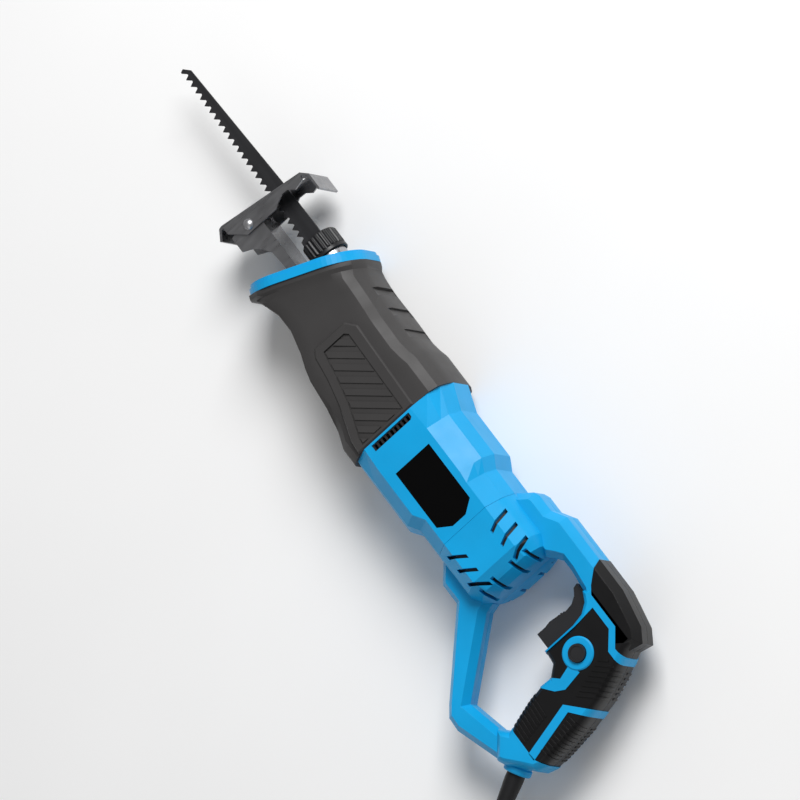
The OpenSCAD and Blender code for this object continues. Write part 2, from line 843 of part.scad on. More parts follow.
// Blue frame lines that stand between the soft covers of the grip
module frame_lines() {
  polygon([[193, 43], [199, 38.6], [230, 38.6], [243, 28], [253, 28.5], [262, 31], [262, 25.5], [253, 22.5],
    [241, 22.5], [228, 33.6], [207, 33.6], [208.3, 18], [208, -19], [203.5, -19], [203.5, 33.5]]);
  translate(button_at) circle(r = 13);
  polygon([[228, -8], [231.5, -20], [224, -27.5], [220, -38], [226, -37], [236, -29.5], [240.5, -22], [238, -5]]);
  polygon([[277, -2], [248, -30.5], [258.5, -74], [265.5, -72], [255, -31], [277, -11]]);
}

module button_hole() {
  rod_z(button_at, 8, 30, button_r + run_gap);
}

module vent_slots() {
  for (i = [0:vent_count - 1]) {
    slab(-60, 60) translate([i * 13.2, 0])
      polygon([[106.5, 29.5], [110, 29.5], [118, 12], [114.5, 12]]);
    slab(-60, 60) translate([i * 13.2, 0])
      polygon([[115.5, -14], [119, -14], [108, -29], [104.5, -29]]);
  }
  for (y = [22, 9, -13, -24]) for (s = [-1, 1])
    block([150, 160], [y - 1.5, y + 1.5], s > 0 ? [20, 60] : [-60, -20]);
}

module handle_solid() {
  motor_end(0);
  spine_shape(0);
  grip_shape(0, grip_half);
  loop_shape(0);
  cord_boss(11, 15);
  intersection() {
    grip_shape(0, grip_half + cover_t);
    slab(-30, 30) frame_lines();
  }
  rod_z(button_at, 10, grip_half + cover_t + 1, 13);
}

module handle_hollow() {
  difference() {
    union() {
      section(motor_x[0] - 1, 130, neck_section, wall);
      motor_end(wall);
      spine_shape(wall + cover_t);
      grip_shape(wall, grip_half);
      loop_shape(wall);
      block([140, 158], [38, 48], [-10, 10]);
      block([232, 252], [16, 40], [-10, 10]);
      slab(-10, 10) polygon([[232, -70], [262, -70], [256, -92], [228, -90]]);
    }
    for (p = screws_at) rod_z(p, -60, 60, 4.5);
    difference() {
      block([bearing_rear[0], bearing_rear[1] + 5], [-60, 60], [-60, 60]);
      rod_x(0, bearing_rear[1] + 2, 0, 12);
      rod_x(0, bearing_rear[1] + 7, 0, 7);
      for (a = [30:60:330]) rotate([a, 0, 0]) block([100, 150], [16, 30], [-5, 5]);
    }
  }
}

module trigger_pocket() {
  block([184, 216], [-17.2, 33.2], [-trigger_half - gap, trigger_half + gap]);
}

module cover_shape() {
  difference() {
    union() {
      difference() {
        grip_shape(0, grip_half + cover_t);
        slab(-grip_half, grip_half) square(1000, center = true);
      }
      difference() {
        spine_shape(0);
        spine_shape(cover_t);
        slab(-60, 60) polygon([[0, 0], [0, 90], [174, 90], [180, 58], [186, 51], [193, 43], [199, 38.6], [199, 0]]);
        block([100, 251], [0, 38.6], [-60, 60]);
      }
    }
    slab(-60, 60) frame_lines();
    slab(-60, 60) polygon([[200, -72], [258, -73.5], [290, -62], [290, -130], [200, -130]]);
    rod_z(button_at, -40, 40, 13.05);
  }
}

module spine_recess() {
  difference() {
    spine_shape(-1);
    spine_shape(cover_t);
    slab(-60, 60) polygon([[0, 0], [0, 90], [174, 90], [180, 58], [186, 51], [193, 43], [199, 38.6], [199, 0]]);
    block([100, 251], [0, 38.6], [-60, 60]);
    slab(-60, 60) frame_lines();
  }
}

module screw_holes(r) {
  for (p = screws_at) rod_z(p, -60, 12, r);
}

module cord_channel() {
  cord_boss(5.5, 20);
  translate([guard_at[0], guard_at[1], 0]) rotate([0, 0, atan2(exit_dir[1], exit_dir[0])])
    rod_x(-2.5, 5, 0, 7.6);
}

// One side of the handle: z runs from the middle joint outwards
module handle_half(z) {
  difference() {
    intersection() {
      difference() {
        handle_solid();
        handle_hollow();
      }
      block([motor_x[0], 300], [-130, 80], z);
    }
    vent_slots();
    spine_recess();
    trigger_pocket();
  }
}

module handle_left() {
  color([0.04, 0.6, 0.9]) place() difference() {
    handle_half([0, 60]);
    button_hole();
    screw_holes(1.8);
    cord_channel();
  }
}

module handle_right() {
  color([0.04, 0.6, 0.9]) place() difference() {
    handle_half([-60, 0]);
    screw_holes(1.8);
    for (p = screws_at) rod_z(p, -60, -9, 3.4);
    cord_channel();
  }
}

module grip_cover_left() {
  color([0.1, 0.1, 0.11]) place() intersection() {
    cover_shape();
    block([80, 300], [-130, 80], [0, 60]);
  }
}

module grip_cover_right() {
  color([0.1, 0.1, 0.11]) place() difference() {
    intersection() {
      cover_shape();
      block([80, 300], [-130, 80], [-60, 0]);
    }
    for (p = screws_at) rod_z(p, -60, -9, 3.4);
  }
}

module handle_screws() {
  color([0.3, 0.3, 0.32]) place() for (p = screws_at) difference() {
    union() {
      rod_z(p, -9, 9, 1.8);
      rod_z(p, -11.5, -9, 3.3);
    }
    block([p[0] - 3, p[0] + 3], [p[1] - 0.4, p[1] + 0.4], [-12, -10.5]);
    block([p[0] - 0.4, p[0] + 0.4], [p[1] - 3, p[1] + 3], [-12, -10.5]);
  }
}

// ---------- controls ----------

trigger_outline = [
  [181, 32], [182, 28], [187, 24.5], [190.5, 19], [191.5, 12], [190, 5], [189, -3], [190, -8], [190, -16.5],
  [208, -16.5], [208, 18], [204, 26], [197, 32],
];

module trigger() {
  color([0.09, 0.09, 0.1]) place() difference() {
    slab(-trigger_half, trigger_half) polygon(trigger_outline);
    block([180, 209.5], [dial_at[1] - dial_r - 1, dial_at[1] + dial_r + 1], [-4.2, 4.2]);
    rod_z(dial_at, -7, 7, 1.6 + run_gap);
  }
}

module speed_dial() {
  color([0.12, 0.12, 0.13]) place() {
    difference() {
      rod_z(dial_at, -3.9, 3.9, dial_r);
      for (i = [0:23]) translate([dial_at[0], dial_at[1], 0]) rotate([0, 0, i * 15])
        block([dial_r - 0.8, dial_r + 1], [-0.6, 0.6], [-5, 5]);
    }
    rod_z(dial_at, -6.8, 6.8, 1.6);
  }
}

module switch_body() {
  color([0.14, 0.14, 0.15]) place() {
    block([216.5, 240], [-14, 24], [-9, 9]);
    block([214.8, 216.5], [-6, 12], [-5, 5]);
    for (i = [0:2]) block([240, 244], [-8 + i * 10, -4 + i * 10], [-3, 3]);
  }
}

module lock_button() {
  color([0.12, 0.12, 0.13]) place() difference() {
    union() {
      rod_z(button_at, 12.4, grip_half + cover_t + 3.4, button_r);
      rod_z(button_at, 12.2, 13.4, button_r - 1);
    }
    rod_z(button_at, grip_half + cover_t + 2.8, 30, button_r - 1.6);
  }
}

module speed_module() {
  color([0.1, 0.25, 0.15]) place() {
    block([236, 256], [-34, -18], [-1, 1]);
    block([238, 246], [-31, -21], [1, 8]);
    block([248, 254], [-30, -22], [1, 6]);
  }
}

module capacitor() {
  color([0.75, 0.65, 0.2]) place() block([238, 260], [-55, -38], [-6.5, 6.5]);
}

module cord_clamp() {
  color([0.15, 0.15, 0.16]) place() difference() {
    translate([245, -66, 0]) block([0, 12], [-6, 0], [-9, 9]);
    translate([251, -75, 0]) rotate([-90, 0, 0]) cylinder(h = 20, r = cord_d / 2);
  }
}

// ---------- cord ----------

module guard_frame() {
  translate([guard_at[0], guard_at[1], 0]) rotate([0, 90, atan2(exit_dir[1], exit_dir[0])]) children();
}

module cord_guard() {
  color([0.08, 0.08, 0.09]) place() difference() {
    guard_frame() {
      translate([0, 0, -2.4]) cylinder(h = 2.4, r = 7.5);
      cylinder(h = 24, r = 7.2);
      translate([0, 0, 24]) cylinder(h = guard_len - 24, r1 = 7.2, r2 = 5);
    }
    for (i = [0:5]) guard_frame() translate([0, 0, 26 + i * 3.8]) difference() {
      cylinder(h = 1.4, r = 12);
      cylinder(h = 1.4, r = 4.6);
    }
  }
}

// Points along a smooth curve through a route
function mix(a, b, c, d, t) = 0.5 * (2 * b + (c - a) * t + (2 * a - 5 * b + 4 * c - d) * t * t
  + (3 * b - a - 3 * c + d) * t * t * t);
function at(p, i) = p[max(0, min(len(p) - 1, i))];
function smooth(p, n) = concat(
  [for (i = [0:len(p) - 2]) for (k = [0:n - 1]) mix(at(p, i - 1), p[i], p[i + 1], at(p, i + 2), k / n)],
  [p[len(p) - 1]]);
function unit(v) = v / norm(v);
function heading(p, i) = unit(at(p, i + 1) - at(p, i - 1));
function ring_points(p, i, r, sides) = let (
    t = heading(p, i),
    a = unit(cross(t, [0, 0, 1])),
    b = cross(a, t)
  ) [for (k = [0:sides - 1]) p[i] + r * (cos(360 * k / sides) * a + sin(360 * k / sides) * b)];

module swept_tube(p, r, sides) {
  n = len(p);
  rings = [for (i = [0:n - 1]) each ring_points(p, i, r, sides)];
  walls = [for (i = [0:n - 2]) for (k = [0:sides - 1]) let (j = (k + 1) % sides)
    each [[i * sides + k, (i + 1) * sides + k, (i + 1) * sides + j], [i * sides + k, (i + 1) * sides + j, i * sides + j]]];
  caps = [[for (k = [0:sides - 1]) k], [for (k = [sides - 1:-1:0]) (n - 1) * sides + k]];
  polyhedron(points = rings, faces = concat(walls, caps));
}

module cord_lead() {
  color([0.07, 0.07, 0.08]) floor_place() swept_tube(smooth(lead_route, 1), cord_d / 2, 10);
}

module cord_tail() {
  color([0.07, 0.07, 0.08]) floor_place() swept_tube(smooth(tail_route, 1), cord_d / 2, 10);
}

module cord_coil() {
  half = coil_wide * cord_d / 2;
  color([0.07, 0.07, 0.08]) floor_place() translate([coil_at[0], coil_at[1], 0]) rotate_extrude($fn = 96)
    translate([coil_r - half, 0]) square([2 * half, coil_high * cord_d]);
}

module plug_frame() {
  floor_place() translate(plug_at) rotate([0, 0, plug_turn]) rotate([-90, 0, 0]) children();
}

module plug_body() {
  color([0.08, 0.08, 0.09]) plug_frame() {
    cylinder(h = 14, r1 = 5, r2 = 7);
    translate([0, 0, 14]) linear_extrude(plug_len - 14) offset(r = 8) square([17, 1], center = true);
  }
}

module plug_pins() {
  color([0.8, 0.8, 0.82]) plug_frame() for (s = [-1, 1]) translate([s * pin_apart / 2, 0, plug_len])
    cylinder(h = pin_len, r = pin_r);
}

blade();
clamp_collar();
clamp_body();
clamp_pin();
clamp_spring();
shoe();
shoe_rivet();
shoe_arm();
arm_guide();
arm_screws();
bumper_ring();
rubber_boot();
front_seal();
gear_case();
gear_cover();
case_screws();
bearing_plate();
plunger();
front_bush();
rear_bush();
yoke_roller();
crown_gear();
gear_bearing();
pinion();
armature_shaft();
armature_core();
armature_windings();
commutator();
fan();
front_bearing();
rear_bearing();
bearing_cup();
stator_core();
field_coils();
fan_baffle();
brush_holders();
carbon_brushes();
brush_springs();
motor_housing();
side_plates();
dust_screens();
handle_left();
handle_right();
grip_cover_left();
grip_cover_right();
handle_screws();
trigger();
speed_dial();
switch_body();
lock_button();
speed_module();
capacitor();
cord_clamp();
cord_guard();
cord_lead();
cord_coil();
cord_tail();
plug_body();
plug_pins();
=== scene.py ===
"""Corded reciprocating saw on its right side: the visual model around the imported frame.

Outlines are in the saw's own plane, in millimetres: X from the blade to the grip, Y towards
the spine, Z towards the saw's left side, all from the motor's axis at the housing seam.
tool() turns them into the row frame's metres.
"""

import math

import bmesh
import bpy
from mathutils import Matrix, Vector


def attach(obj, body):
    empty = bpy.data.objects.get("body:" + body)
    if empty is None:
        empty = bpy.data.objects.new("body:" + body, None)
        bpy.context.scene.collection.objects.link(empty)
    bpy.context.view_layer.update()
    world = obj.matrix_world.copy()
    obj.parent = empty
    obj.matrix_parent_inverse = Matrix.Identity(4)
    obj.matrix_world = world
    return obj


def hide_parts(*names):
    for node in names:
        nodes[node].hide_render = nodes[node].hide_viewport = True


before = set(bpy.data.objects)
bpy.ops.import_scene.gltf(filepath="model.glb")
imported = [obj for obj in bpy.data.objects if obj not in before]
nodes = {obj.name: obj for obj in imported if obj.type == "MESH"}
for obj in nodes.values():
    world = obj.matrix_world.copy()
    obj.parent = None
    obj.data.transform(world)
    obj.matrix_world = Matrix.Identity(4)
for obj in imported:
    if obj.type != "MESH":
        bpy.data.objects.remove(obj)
bpy.context.view_layer.update()

MM = 0.001
ORIGIN = Vector((0.03075, 0.025, 0.0385))  # the motor's axis at the housing seam

# ---------- camera ----------

VIEW_FROM = Vector((0.310, 0.265, 0.913))
VIEW_RIGHT = Vector((0.575, 0.7125, -0.402))
VIEW_AIM = Vector((0.00785, 0.0315, 0.0385))
VIEW_DISTANCE = 16.0
VIEW_LENS = 957
VIEW_SENSOR = 36


def look(origin, back, right):
    """The matrix of a camera or lamp at origin whose -Z looks away from back."""
    back = back.normalized()
    right = (right - back * right.dot(back)).normalized()
    turn = Matrix((right, back.cross(right), back)).transposed().to_4x4()
    return Matrix.Translation(origin) @ turn


camera = bpy.data.objects.new("camera", bpy.data.cameras.new("camera"))
camera.data.lens = VIEW_LENS
camera.data.sensor_width = VIEW_SENSOR
camera.matrix_world = look(
    VIEW_AIM + VIEW_FROM.normalized() * VIEW_DISTANCE, VIEW_FROM, VIEW_RIGHT
)
bpy.context.scene.collection.objects.link(camera)
bpy.context.scene.camera = camera

# ---------- mesh helpers ----------


def tool(x, y, z=0.0):
    """A point of the saw's own plane, in millimetres, as metres in the row frame."""
    return ORIGIN + Vector((x, y, z)) * MM


def turned(x, y, degrees):
    """The point turned about the origin of its plane."""
    a = math.radians(degrees)
    return x * math.cos(a) - y * math.sin(a), x * math.sin(a) + y * math.cos(a)


def finish_piece(name, mesh, slot, body, replaced):
    """The mesh as a piece on its body, in its slot's material, in place of CAD nodes."""
    piece = bpy.data.objects.new(name, mesh)
    bpy.context.scene.collection.objects.link(piece)
    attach(piece, body)
    if replaced:
        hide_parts(*replaced)
    mesh.materials.append(materials[slot])
    return piece


MERGE_DISTANCE = 1e-6


def shade(mesh, angle=32):
    """Smooth shading that keeps edges sharper than the angle."""
    limit = math.radians(angle)
    bm = bmesh.new()
    bm.from_mesh(mesh)
    bmesh.ops.remove_doubles(bm, verts=bm.verts, dist=MERGE_DISTANCE)
    bmesh.ops.recalc_face_normals(bm, faces=bm.faces)
    for f in bm.faces:
        f.smooth = True
    for edge in bm.edges:
        edge.smooth = edge.is_manifold and edge.calc_face_angle(0) < limit
    bm.to_mesh(mesh)
    bm.free()


def soften(piece, width, segments=3, angle=28):
    """Rounds the piece's sharp edges with a bevel of that width in millimetres."""
    bevel = piece.modifiers.new("soft edges", "BEVEL")
    bevel.width = width * MM
    bevel.segments = segments
    bevel.limit_method = "ANGLE"
    bevel.angle_limit = math.radians(angle)


def add_rings(bm, rings):
    """Closed skin through rings that have the same number of points."""
    rings = [[bm.verts.new(p) for p in ring] for ring in rings]
    count = len(rings[0])
    for one, two in zip(rings, rings[1:]):
        for i in range(count):
            j = (i + 1) % count
            bm.faces.new((one[i], one[j], two[j], two[i]))
    bm.faces.new(rings[0][::-1])
    bm.faces.new(rings[-1])


def lathe(name, at, axis, profile, slot, body, replaced=(), steps=48):
    """A turned piece: profile is (distance along the axis, radius) in millimetres."""
    axis = axis.normalized()
    side = axis.orthogonal().normalized()
    up = axis.cross(side)
    bm = bmesh.new()
    rings = []
    for along, radius in profile:
        ring = []
        for i in range(steps):
            a = 2 * math.pi * i / steps
            spoke = side * math.cos(a) + up * math.sin(a)
            ring.append(at + (axis * along + spoke * radius) * MM)
        rings.append(ring)
    add_rings(bm, rings)
    mesh = bpy.data.meshes.new(name)
    bm.to_mesh(mesh)
    bm.free()
    shade(mesh)
    return finish_piece(name, mesh, slot, body, replaced)


# ---------- materials ----------


def shader_nodes(name):
    """A new node material, with its tree and its shader."""
    material = bpy.data.materials.new(name)
    material.use_nodes = True
    tree = material.node_tree
    return material, tree, tree.nodes["Principled BSDF"]


def noise(tree, scale, detail=3.0, stretch=None):
    """Noise in the row frame's own coordinates, so that it stays on the piece."""
    where = tree.nodes.new("ShaderNodeTexCoord")
    texture = tree.nodes.new("ShaderNodeTexNoise")
    texture.inputs["Scale"].default_value = scale
    texture.inputs["Detail"].default_value = detail
    source = where.outputs["Object"]
    if stretch:
        mapping = tree.nodes.new("ShaderNodeMapping")
        mapping.inputs["Scale"].default_value = stretch
        tree.links.new(source, mapping.inputs["Vector"])
        source = mapping.outputs["Vector"]
    tree.links.new(source, texture.inputs["Vector"])
    return texture.outputs["Fac"]


def ramp(tree, value, low, high, dark, light):
    """Maps value from low..high to the two colours or to the two grey levels."""
    node = tree.nodes.new("ShaderNodeValToRGB")
    node.color_ramp.elements[0].position = low
    node.color_ramp.elements[1].position = high
    for element, level in zip(node.color_ramp.elements, (dark, light)):
        rgb = level if isinstance(level, tuple) else (level, level, level)
        element.color = (*rgb, 1)
    tree.links.new(value, node.inputs["Fac"])
    return node.outputs["Color"]


GRAIN_DEPTH = 0.00002


def bump(tree, shader, height, strength):
    """Gives the shader the fine relief of height."""
    node = tree.nodes.new("ShaderNodeBump")
    node.inputs["Strength"].default_value = strength
    node.inputs["Distance"].default_value = GRAIN_DEPTH
    tree.links.new(height, node.inputs["Height"])
    tree.links.new(node.outputs["Normal"], shader.inputs["Normal"])


MOULD_GRAIN = 1500
COAT_ROUGHNESS = 0.22


def tinted(color, factor):
    """The colour made lighter or darker by the factor."""
    return tuple(min(1.0, c * factor) for c in color)


def moulded(name, color, roughness, strength=0.25, coat=0.0, specular=0.35):
    """Moulded plastic or rubber: a fine texture, and a slow change of tone and gloss."""
    material, tree, shader = shader_nodes(name)
    tone = ramp(tree, noise(tree, 22, 4), 0.3, 0.7, tinted(color, 0.93), tinted(color, 1.06))
    tree.links.new(tone, shader.inputs["Base Color"])
    gloss = ramp(tree, noise(tree, 60, 5), 0.3, 0.75, roughness - 0.04, roughness + 0.05)
    tree.links.new(gloss, shader.inputs["Roughness"])
    bump(tree, shader, noise(tree, MOULD_GRAIN, 2), strength)
    shader.inputs["Specular IOR Level"].default_value = specular
    shader.inputs["Coat Weight"].default_value = coat
    shader.inputs["Coat Roughness"].default_value = COAT_ROUGHNESS
    return material


def metal(name, color, roughness, stretch=None, scale=420, metallic=1.0, strength=0.2):
    """Steel and other metals, with a grain that stretch draws out in one direction."""
    material, tree, shader = shader_nodes(name)
    shader.inputs["Metallic"].default_value = metallic
    tone = ramp(tree, noise(tree, 35, 5), 0.3, 0.7, tinted(color, 0.86), tinted(color, 1.1))
    tree.links.new(tone, shader.inputs["Base Color"])
    grain = noise(tree, scale, 4, stretch)
    gloss = ramp(tree, grain, 0.3, 0.7, max(0.05, roughness - 0.09), roughness + 0.1)
    tree.links.new(gloss, shader.inputs["Roughness"])
    bump(tree, shader, grain, strength)
    return material


ALONG = (0.06, 1.0, 1.0)  # grain drawn out along the saw
materials = {
    "blade_steel": metal("blade_steel", (0.035, 0.035, 0.038), 0.42, ALONG, metallic=0.6),
    "tool_steel": metal("tool_steel", (0.5, 0.5, 0.52), 0.3, (1.0, 0.1, 1.0)),
    "sheet_steel": metal("sheet_steel", (0.27, 0.27, 0.28), 0.33, (1.0, 0.15, 1.0)),
    "collar_black": moulded("collar_black", (0.012, 0.012, 0.013), 0.36),
    "blue_plastic": moulded("blue_plastic", (0.002, 0.35, 0.72), 0.4, specular=0.3),
    "boot_rubber": moulded("boot_rubber", (0.042, 0.040, 0.040), 0.5, strength=0.35),
    "seal_rubber": moulded("seal_rubber", (0.012, 0.012, 0.012), 0.55),
    "cast_aluminium": metal("cast_aluminium", (0.6, 0.61, 0.63), 0.42, scale=900),
    "fastener_steel": metal("fastener_steel", (0.12, 0.12, 0.13), 0.35),
    "bronze": metal("bronze", (0.5, 0.33, 0.14), 0.38),
    "gear_steel": metal("gear_steel", (0.4, 0.4, 0.42), 0.3),
    "copper": metal("copper", (0.68, 0.27, 0.1), 0.3, (1.0, 1.0, 0.1)),
    "laminations": metal("laminations", (0.35, 0.35, 0.37), 0.4, (8.0, 0.3, 0.3)),
    "bearing_steel": metal("bearing_steel", (0.7, 0.7, 0.72), 0.16),
    "dark_plastic": moulded("dark_plastic", (0.018, 0.018, 0.02), 0.42),
    "carbon": moulded("carbon", (0.02, 0.02, 0.02), 0.6),
    "plate_black": moulded(
        "plate_black", (0.0006, 0.0006, 0.0007), 0.22, strength=0.05, specular=0.12
    ),
    "cover_rubber": moulded(
        "cover_rubber", (0.004, 0.004, 0.0045), 0.36, strength=0.35, specular=0.32
    ),
    "circuit_green": moulded("circuit_green", (0.01, 0.09, 0.04), 0.35),
    "capacitor_yellow": moulded("capacitor_yellow", (0.6, 0.42, 0.05), 0.35),
    "cord_rubber": moulded("cord_rubber", (0.008, 0.008, 0.009), 0.5, strength=0.3),
    "pin_brass": metal("pin_brass", (0.75, 0.72, 0.62), 0.22),
}

for node in nodes.values():
    for place in node.material_slots:
        place.material = materials[place.material.name.split(".")[0]]

# ---------- cord ----------

CORD_D = 0.0075
EXIT_DIR = Vector((0.45, -0.893, 0.0))
GUARD_AT = (258.65, -99.18)
GUARD_LEN = 50
COIL_AT = (0.352, -0.154)
COIL_OUT = 0.0525
COIL_ENTRY = 0.004  # how much wider the first quarter turn starts
COIL_TURNS = 3
COIL_STEPS = 18
COIL_START = -90
COIL_END = 20
LEAD = [
    (0.2812, -0.1438, 0.0385), (0.2857, -0.1527, 0.0383), (0.2905, -0.162, 0.036),
    (0.296, -0.1715, 0.0305), (0.3025, -0.181, 0.023), (0.306, -0.1856, 0.0193),
    (0.311, -0.193, 0.0135), (0.3192, -0.201, 0.0086), (0.3293, -0.2076, 0.0052),
    (0.3404, -0.2108, 0.0039), (0.352, -0.2105, 0.00375),
]
TAIL = [
    (0.4013, -0.136, 0.0112), (0.3963, -0.1195, 0.0082), (0.395, -0.114, 0.0066),
    (0.3945, -0.103, 0.005), (0.3955, -0.092, 0.0065), (0.397, -0.082, 0.009),
]


def over_bench(x, y, height):
    """A point at tool X and Y in metres and at that height over the bench."""
    return Vector((ORIGIN.x + x, ORIGIN.y + y, height))


def coil_points():
    """One layer of turns winding in, and one on top of it winding out again."""
    climb = COIL_END - COIL_START
    one_layer = 360 * COIL_TURNS
    total = 2 * one_layer + climb
    count = COIL_STEPS * total // 360
    points = []
    for i in range(1, count):
        turn = total * i / count
        wound = min(turn, one_layer) - max(0.0, turn - one_layer - climb)
        entry = COIL_ENTRY * max(0.0, 1 - turn / 90) ** 2
        radius = COIL_OUT + entry - CORD_D * wound / 360
        rise = min(max((turn - one_layer) / climb, 0.0), 1.0)
        rise = rise * rise * (3 - 2 * rise)
        x, y = turned(radius, 0.0, COIL_START + turn)
        points.append(over_bench(COIL_AT[0] + x, COIL_AT[1] + y, CORD_D * (0.5 + rise)))
    return points


def smooth_path(points, cuts=4):
    """A Catmull-Rom curve through the points."""
    ends = [points[0] * 2 - points[1]] + points + [points[-1] * 2 - points[-2]]
    path = []
    for a, b, c, d in zip(ends, ends[1:], ends[2:], ends[3:]):
        for k in range(cuts):
            t = k / cuts
            path.append(
                0.5 * (2 * b + (c - a) * t + (2 * a - 5 * b + 4 * c - d) * t**2
                       + (3 * b - a - 3 * c + d) * t**3)
            )
    return path + [points[-1]]


guard_start = tool(*GUARD_AT)
guard_axis = EXIT_DIR.normalized()
inside_guard = [guard_start + guard_axis * (GUARD_LEN * MM * k / 3) for k in range(3)]
route = inside_guard + [over_bench(*p) for p in LEAD] + coil_points()
route += [over_bench(*p) for p in TAIL]
path = smooth_path(route)


def tube(name, path, radius, sides=14):
    """A closed round tube along the path, its sections turned as little as possible."""
    bm = bmesh.new()
    side = Vector((0, 0, 1))
    rings = []
    for i, at in enumerate(path):
        ahead = (path[min(i + 1, len(path) - 1)] - path[max(i - 1, 0)]).normalized()
        side = (side - ahead * side.dot(ahead)).normalized()
        up = ahead.cross(side)
        rings.append([
            at + (side * math.cos(a) + up * math.sin(a)) * radius
            for a in (2 * math.pi * k / sides for k in range(sides))
        ])
    add_rings(bm, rings)
    mesh = bpy.data.meshes.new(name)
    bm.to_mesh(mesh)
    bm.free()
    shade(mesh, 50)
    return mesh


cord = finish_piece(
    "cord", tube("cord", path, CORD_D / 2), "cord_rubber", "housing",
    ("cord_lead", "cord_coil", "cord_tail"),
)

# Ribbed sleeve that narrows towards the cord: (distance from its root, radius)
GUARD_RIBS = 6
GUARD_RIBS_FROM = 22
GUARD_RIB_STEP = 4.5
GUARD_R = 7.25
GUARD_TAPER = 2.0
guard_profile = [(-3, 7.2), (0, 7.3), (1.5, 7.4), (6, 7.3)]
for k in range(GUARD_RIBS):
    along = GUARD_RIBS_FROM + k * GUARD_RIB_STEP
    radius = GUARD_R - (along / GUARD_LEN) * GUARD_TAPER
    guard_profile += [
        (along, radius), (along + 0.3, radius - 1.1), (along + 1.5, radius - 1.15),
        (along + 1.8, radius - 0.1), (along + 2.2, radius), (along + 4.2, radius - 0.1),
    ]
guard_profile += [(GUARD_LEN - 0.6, 5.0), (GUARD_LEN, 4.4)]
guard = lathe(
    "cord_guard_sleeve", guard_start, guard_axis, guard_profile,
    "cord_rubber", "housing", ("cord_guard",),
)

# ---------- floor and light ----------


def floor_material():
    """A matt near-white bench top."""
    material, tree, shader = shader_nodes("floor")
    tone = ramp(tree, noise(tree, 3, 3), 0.3, 0.7, (0.9, 0.9, 0.9), (0.93, 0.93, 0.93))
    tree.links.new(tone, shader.inputs["Base Color"])
    shader.inputs["Roughness"].default_value = 0.85
    shader.inputs["Specular IOR Level"].default_value = 0.1
    return material


FLOOR_HALF = 3.0
FLOOR_Z = -0.0004  # just under what the saw rests on
floor_mesh = bpy.data.meshes.new("floor")
corners = [(-1, -1), (1, -1), (1, 1), (-1, 1)]
floor_mesh.from_pydata(
    [(x * FLOOR_HALF, y * FLOOR_HALF, FLOOR_Z) for x, y in corners], [], [(0, 1, 2, 3)]
)
floor_mesh.materials.append(floor_material())
floor = bpy.data.objects.new("floor", floor_mesh)
bpy.context.scene.collection.objects.link(floor)


def softbox(name, toward, distance, size, power):
    """An area lamp in the direction toward from the saw, facing the saw."""
    lamp = bpy.data.lights.new(name, "AREA")
    lamp.shape = "RECTANGLE"
    lamp.size, lamp.size_y = size
    lamp.energy = power
    piece = bpy.data.objects.new(name, lamp)
    toward = toward.normalized()
    piece.matrix_world = look(VIEW_AIM + toward * distance, toward, toward.orthogonal())
    bpy.context.scene.collection.objects.link(piece)


softbox("key", Vector((-0.35, 0.75, 0.9)), 3.0, (1.5, 1.5), 92)
softbox("fill", Vector((0.8, -0.6, 0.9)), 1.8, (1.0, 1.4), 2.5)

WORLD_STRENGTH = 0.28
world = bpy.data.worlds.new("studio")
world.use_nodes = True
world.node_tree.nodes["Background"].inputs["Color"].default_value = (1, 1, 1, 1)
world.node_tree.nodes["Background"].inputs["Strength"].default_value = WORLD_STRENGTH
bpy.context.scene.world = world
bpy.context.scene.view_settings.view_transform = "Standard"

# ---------- handle ----------

SPINE_TOP = [
    (96, 36), (106, 49), (111, 51), (126, 51), (138, 58), (210, 58), (221, 56), (241, 52), (251.5, 45),
]
SPINE_LOW = [
    (249, 34), (240, 22), (203, 22), (198, 29), (190, 33.5), (172, 35.5), (162, 35.5), (157, 32),
    (150, 26), (100, 26),
]
SPINE_HALF = 18
SPINE_EDGE = ((8, 0), (0, 5.5))
GRIP = [
    (193, 46), (249, 46), (249, 34), (253, 25), (258, 14), (265, -6), (270, -30), (273, -58),
    (273.5, -72), (271, -80), (262, -87), (250, -97), (244, -99.5), (226, -84.5), (234, -78),
    (230, -65), (226, -51), (223.5, -38), (224, -28), (217, -20), (205, -18.5), (205, 12),
    (203, 22), (198, 29), (190, 33.5),
]
GRIP_HALF = 18.3
FRAME_PROUD = 0.5  # the blue frame stands this far out of the soft grip
GRIP_EDGE = ((9, 0), (4, 1.4), (1.4, 3.2), (0, 5.2))  # steps of (depth, inset) round its sides
LOOP = [
    (242, -100), (204, -112), (192, -111.4), (184, -105), (129, -52.5), (111, -52.5), (96, -40),
    (96, -30), (148, -30), (150, -38), (195, -91.5), (226, -84.5), (234, -78), (262, -87), (250, -97),
]
LOOP_HALF = 13
LOOP_EDGE = ((6.5, 0), (0, 4.8))
MOTOR_RINGS = [
    (98.2, [(38, 15), (32.5, 27), (28, 31.1), (20, 38.5), (-23, 38.5), (-34.5, 27), (-39.5, 12)]),
    (136, [(38, 15), (32.5, 27), (28, 31.1), (20, 38.5), (-23, 38.5), (-34.5, 27), (-39.5, 12)]),
    (145, [(34, 12), (30.5, 22), (26, 26), (18.5, 31), (-21, 31), (-30, 22), (-34.5, 11)]),
    (150, [(25, 8), (23, 13), (20, 16), (13, 20), (-15, 20), (-22, 14), (-26, 7)]),
]
BUTTON_AT = (226, 3)
BUTTON_BORE = 7.3
BUTTON_WELL = 4.0
SEAM = 0.1  # the shell halves stop this far from the middle, and the soft covers a little further
SOFT_SEAM = 0.12
POCKET_HALF = 8.4
BEYOND = 30  # cutters reach past the saw's sides
